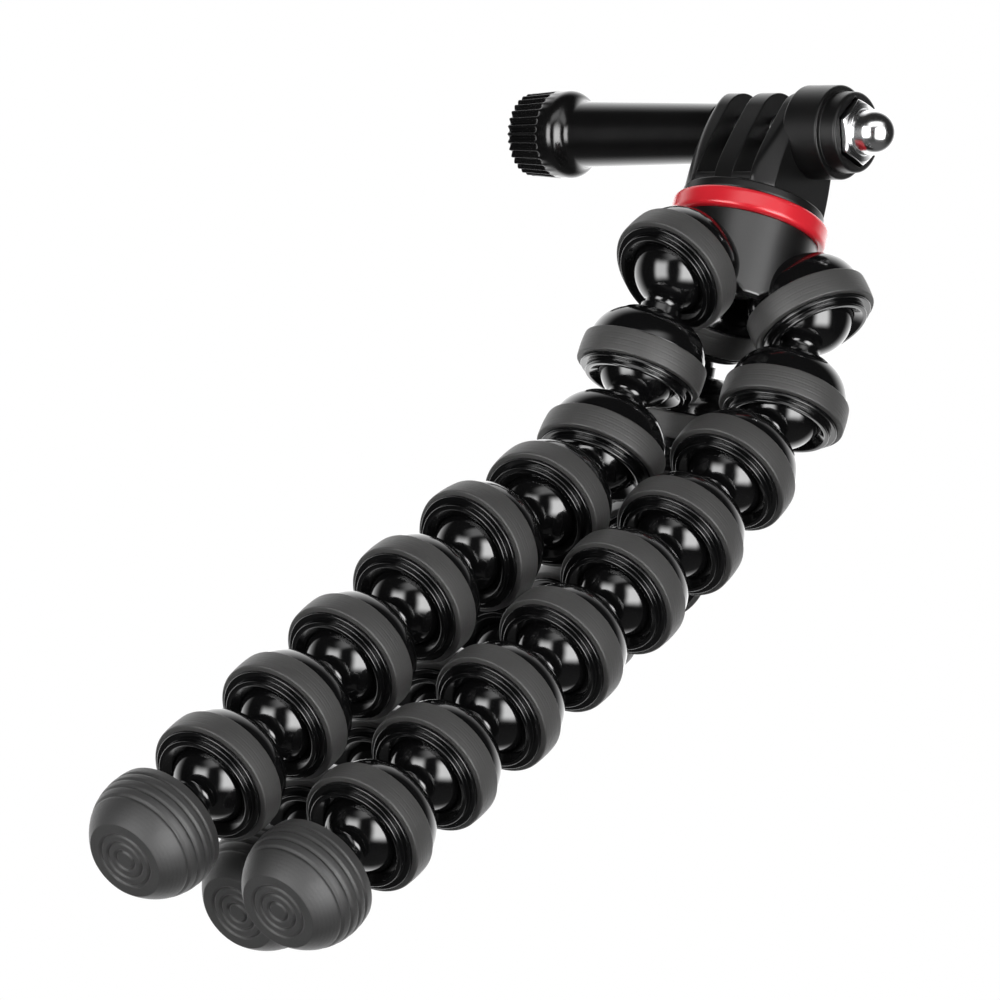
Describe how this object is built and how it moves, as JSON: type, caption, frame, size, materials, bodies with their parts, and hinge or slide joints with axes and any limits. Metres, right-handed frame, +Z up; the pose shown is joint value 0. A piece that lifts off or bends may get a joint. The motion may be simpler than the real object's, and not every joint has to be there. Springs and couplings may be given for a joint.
{
  "type": "flexible leg tripod",
  "caption": "Small tripod with flexible legs of ball-jointed links with rubber grip rings, a red ring at the head and a fingered action camera mount with a clamp screw.",
  "frame": {"origin": "centre of the clamp screw's bore, midway across the three fingers of the camera mount", "axes": "+X along the clamp screw from its knob to its nut, +Z up the axis of the head and hub, -Y the side that the camera faces"},
  "size_m": [0.0615, 0.1093, 0.1477],
  "materials": {
    "gloss_plastic": "glossy black moulded plastic",
    "satin_plastic": "satin black moulded plastic",
    "knob_plastic": "satin black plastic, ribbed at the end",
    "grip_rubber": "dark grey rubber with fine lines round it",
    "red_plastic": "glossy red plastic",
    "bolt_steel": "plain steel",
    "nut_chrome": "bright polished chrome"
  },
  "bodies": {
    "head": {"hub": "satin_plastic", "hub_grip_rings": "grip_rubber", "hub_screw": "bolt_steel", "red_ring": "red_plastic", "camera_mount": "satin_plastic", "clamp_nut": "nut_chrome"},
    "clamp_bolt": {"clamp_bolt": "bolt_steel"},
    "clamp_knob": {"clamp_knob": "knob_plastic"},
    "front_leg_link_1": {"front_leg_link_1": "gloss_plastic", "front_leg_grip_ring_1": "grip_rubber"},
    "front_leg_link_2": {"front_leg_link_2": "gloss_plastic", "front_leg_grip_ring_2": "grip_rubber"},
    "front_leg_link_3": {"front_leg_link_3": "gloss_plastic", "front_leg_grip_ring_3": "grip_rubber"},
    "front_leg_link_4": {"front_leg_link_4": "gloss_plastic", "front_leg_grip_ring_4": "grip_rubber"},
    "front_leg_link_5": {"front_leg_link_5": "gloss_plastic", "front_leg_grip_ring_5": "grip_rubber"},
    "front_leg_link_6": {"front_leg_link_6": "gloss_plastic", "front_leg_grip_ring_6": "grip_rubber"},
    "front_leg_link_7": {"front_leg_link_7": "gloss_plastic", "front_leg_grip_ring_7": "grip_rubber"},
    "front_leg_link_8": {"front_leg_link_8": "gloss_plastic", "front_leg_grip_ring_8": "grip_rubber"},
    "front_leg_foot": {"front_leg_foot": "grip_rubber"},
    "right_leg_link_1": {"right_leg_link_1": "gloss_plastic", "right_leg_grip_ring_1": "grip_rubber"},
    "right_leg_link_2": {"right_leg_link_2": "gloss_plastic", "right_leg_grip_ring_2": "grip_rubber"},
    "right_leg_link_3": {"right_leg_link_3": "gloss_plastic", "right_leg_grip_ring_3": "grip_rubber"},
    "right_leg_link_4": {"right_leg_link_4": "gloss_plastic", "right_leg_grip_ring_4": "grip_rubber"},
    "right_leg_link_5": {"right_leg_link_5": "gloss_plastic", "right_leg_grip_ring_5": "grip_rubber"},
    "right_leg_link_6": {"right_leg_link_6": "gloss_plastic", "right_leg_grip_ring_6": "grip_rubber"},
    "right_leg_link_7": {"right_leg_link_7": "gloss_plastic", "right_leg_grip_ring_7": "grip_rubber"},
    "right_leg_link_8": {"right_leg_link_8": "gloss_plastic", "right_leg_grip_ring_8": "grip_rubber"},
    "right_leg_foot": {"right_leg_foot": "grip_rubber"},
    "back_leg_link_1": {"back_leg_link_1": "gloss_plastic", "back_leg_grip_ring_1": "grip_rubber"},
    "back_leg_link_2": {"back_leg_link_2": "gloss_plastic", "back_leg_grip_ring_2": "grip_rubber"},
    "back_leg_link_3": {"back_leg_link_3": "gloss_plastic", "back_leg_grip_ring_3": "grip_rubber"},
    "back_leg_link_4": {"back_leg_link_4": "gloss_plastic", "back_leg_grip_ring_4": "grip_rubber"},
    "back_leg_link_5": {"back_leg_link_5": "gloss_plastic", "back_leg_grip_ring_5": "grip_rubber"},
    "back_leg_link_6": {"back_leg_link_6": "gloss_plastic", "back_leg_grip_ring_6": "grip_rubber"},
    "back_leg_link_7": {"back_leg_link_7": "gloss_plastic", "back_leg_grip_ring_7": "grip_rubber"},
    "back_leg_link_8": {"back_leg_link_8": "gloss_plastic", "back_leg_grip_ring_8": "grip_rubber"},
    "back_leg_foot": {"back_leg_foot": "grip_rubber"}
  },
  "joints": [
    {"name": "clamp_bolt_slide", "type": "slide", "parent": "head", "child": "clamp_bolt", "axis": [-1, 0, 0], "range_m": [0, 0.026]},
    {"name": "clamp_knob_turn", "type": "hinge", "parent": "clamp_bolt", "child": "clamp_knob", "pos_m": [-0.02, 0, 0], "axis": [1, 0, 0], "continuous": true},
    {"name": "front_leg_ball_1", "type": "hinge", "parent": "head", "child": "front_leg_link_1", "pos_m": [-0.0016, -0.01139, -0.0252], "axis": [-0.6042, 0.7968, -0.0134], "range_deg": [0, 30]},
    {"name": "front_leg_ball_2", "type": "hinge", "parent": "front_leg_link_1", "child": "front_leg_link_2", "pos_m": [-0.00262, -0.0124, -0.03973], "axis": [-0.7972, -0.5794, 0.1697], "range_deg": [0, 27]},
    {"name": "front_leg_ball_3", "type": "hinge", "parent": "front_leg_link_2", "child": "front_leg_link_3", "pos_m": [-0.00287, -0.01618, -0.05383], "axis": [0.0754, 0.7655, -0.6389], "range_deg": [0, 30]},
    {"name": "front_leg_ball_4", "type": "hinge", "parent": "front_leg_link_3", "child": "front_leg_link_4", "pos_m": [-0.00236, -0.02556, -0.06501], "axis": [-0.9183, -0.2115, 0.3347], "range_deg": [0, 30]},
    {"name": "front_leg_ball_5", "type": "hinge", "parent": "front_leg_link_4", "child": "front_leg_link_5", "pos_m": [-0.00364, -0.03602, -0.07511], "axis": [-0.4501, 0.699, -0.5557], "range_deg": [0, 30]},
    {"name": "front_leg_ball_6", "type": "hinge", "parent": "front_leg_link_5", "child": "front_leg_link_6", "pos_m": [-0.0044, -0.04539, -0.08628], "axis": [-0.906, -0.3022, 0.2963], "range_deg": [0, 30]},
    {"name": "front_leg_ball_7", "type": "hinge", "parent": "front_leg_link_6", "child": "front_leg_link_7", "pos_m": [-0.00517, -0.05437, -0.09777], "axis": [-0.42, 0.7285, -0.5412], "range_deg": [0, 30]},
    {"name": "front_leg_ball_8", "type": "hinge", "parent": "front_leg_link_7", "child": "front_leg_link_8", "pos_m": [-0.00593, -0.06335, -0.10926], "axis": [-0.906, -0.3022, 0.2963], "range_deg": [0, 30]},
    {"name": "front_leg_ball_9", "type": "hinge", "parent": "front_leg_link_8", "child": "front_leg_foot", "pos_m": [-0.00669, -0.07232, -0.12075], "axis": [-0.42, 0.7285, -0.5412], "range_deg": [0, 30]},
    {"name": "right_leg_ball_1", "type": "hinge", "parent": "head", "child": "right_leg_link_1", "pos_m": [0.01066, 0.00431, -0.0252], "axis": [-0.3938, -0.9129, 0.1075], "range_deg": [0, 30]},
    {"name": "right_leg_ball_2", "type": "hinge", "parent": "right_leg_link_1", "child": "right_leg_link_2", "pos_m": [0.01143, 0.00228, -0.03964], "axis": [0.7954, -0.5265, 0.3002], "range_deg": [0, 30]},
    {"name": "right_leg_ball_3", "type": "hinge", "parent": "right_leg_link_2", "child": "right_leg_link_3", "pos_m": [0.01117, -0.00524, -0.05215], "axis": [-0.793, -0.5109, 0.3318], "range_deg": [0, 30]},
    {"name": "right_leg_ball_4", "type": "hinge", "parent": "right_leg_link_3", "child": "right_leg_link_4", "pos_m": [0.01117, -0.01319, -0.06439], "axis": [0.7023, -0.5685, 0.4286], "range_deg": [0, 30]},
    {"name": "right_leg_ball_5", "type": "hinge", "parent": "right_leg_link_4", "child": "right_leg_link_5", "pos_m": [0.01092, -0.02218, -0.0759], "axis": [-0.6872, -0.5496, 0.4751], "range_deg": [0, 30]},
    {"name": "right_leg_ball_6", "type": "hinge", "parent": "right_leg_link_5", "child": "right_leg_link_6", "pos_m": [0.01015, -0.03115, -0.08739], "axis": [0.7983, -0.4991, 0.3369], "range_deg": [0, 30]},
    {"name": "right_leg_ball_7", "type": "hinge", "parent": "right_leg_link_6", "child": "right_leg_link_7", "pos_m": [0.00939, -0.04013, -0.09888], "axis": [-0.5999, -0.6106, 0.517], "range_deg": [0, 30]},
    {"name": "right_leg_ball_8", "type": "hinge", "parent": "right_leg_link_7", "child": "right_leg_link_8", "pos_m": [0.00863, -0.04911, -0.11037], "axis": [0.7983, -0.4991, 0.3369], "range_deg": [0, 30]},
    {"name": "right_leg_ball_9", "type": "hinge", "parent": "right_leg_link_8", "child": "right_leg_foot", "pos_m": [0.00786, -0.05808, -0.12186], "axis": [-0.5999, -0.6106, 0.517], "range_deg": [0, 30]},
    {"name": "back_leg_ball_1", "type": "hinge", "parent": "head", "child": "back_leg_link_1", "pos_m": [-0.00906, 0.00708, -0.0252], "axis": [0.9804, 0.1633, -0.1102], "range_deg": [0, 30]},
    {"name": "back_leg_ball_2", "type": "hinge", "parent": "back_leg_link_1", "child": "back_leg_link_2", "pos_m": [-0.01135, 0.01154, -0.03891], "axis": [0.0459, 0.988, -0.1475], "range_deg": [0, 30]},
    {"name": "back_leg_ball_3", "type": "hinge", "parent": "back_leg_link_2", "child": "back_leg_link_3", "pos_m": [-0.00856, 0.00929, -0.05307], "axis": [0.8799, -0.0141, 0.475], "range_deg": [0, 30]},
    {"name": "back_leg_ball_4", "type": "hinge", "parent": "back_leg_link_3", "child": "back_leg_link_4", "pos_m": [-0.00333, 0, -0.06304], "axis": [0.7323, -0.6317, 0.2544], "range_deg": [0, 30]},
    {"name": "back_leg_ball_5", "type": "hinge", "parent": "back_leg_link_4", "child": "back_leg_link_5", "pos_m": [-0.00611, -0.00802, -0.07492], "axis": [0.9894, -0.0932, 0.1111], "range_deg": [0, 30]},
    {"name": "back_leg_ball_6", "type": "hinge", "parent": "back_leg_link_5", "child": "back_leg_link_6", "pos_m": [-0.00611, -0.0192, -0.08431], "axis": [0.1607, 0.7726, -0.6143], "range_deg": [0, 30]},
    {"name": "back_leg_ball_7", "type": "hinge", "parent": "back_leg_link_6", "child": "back_leg_link_7", "pos_m": [-0.00688, -0.02818, -0.09579], "axis": [0.9856, -0.1586, 0.0584], "range_deg": [0, 30]},
    {"name": "back_leg_ball_8", "type": "hinge", "parent": "back_leg_link_7", "child": "back_leg_link_8", "pos_m": [-0.00764, -0.03715, -0.10728], "axis": [0.1607, 0.7726, -0.6143], "range_deg": [0, 30]},
    {"name": "back_leg_ball_9", "type": "hinge", "parent": "back_leg_link_8", "child": "back_leg_foot", "pos_m": [-0.00841, -0.04613, -0.11877], "axis": [0.9856, -0.1586, 0.0584], "range_deg": [0, 30]}
  ]
}
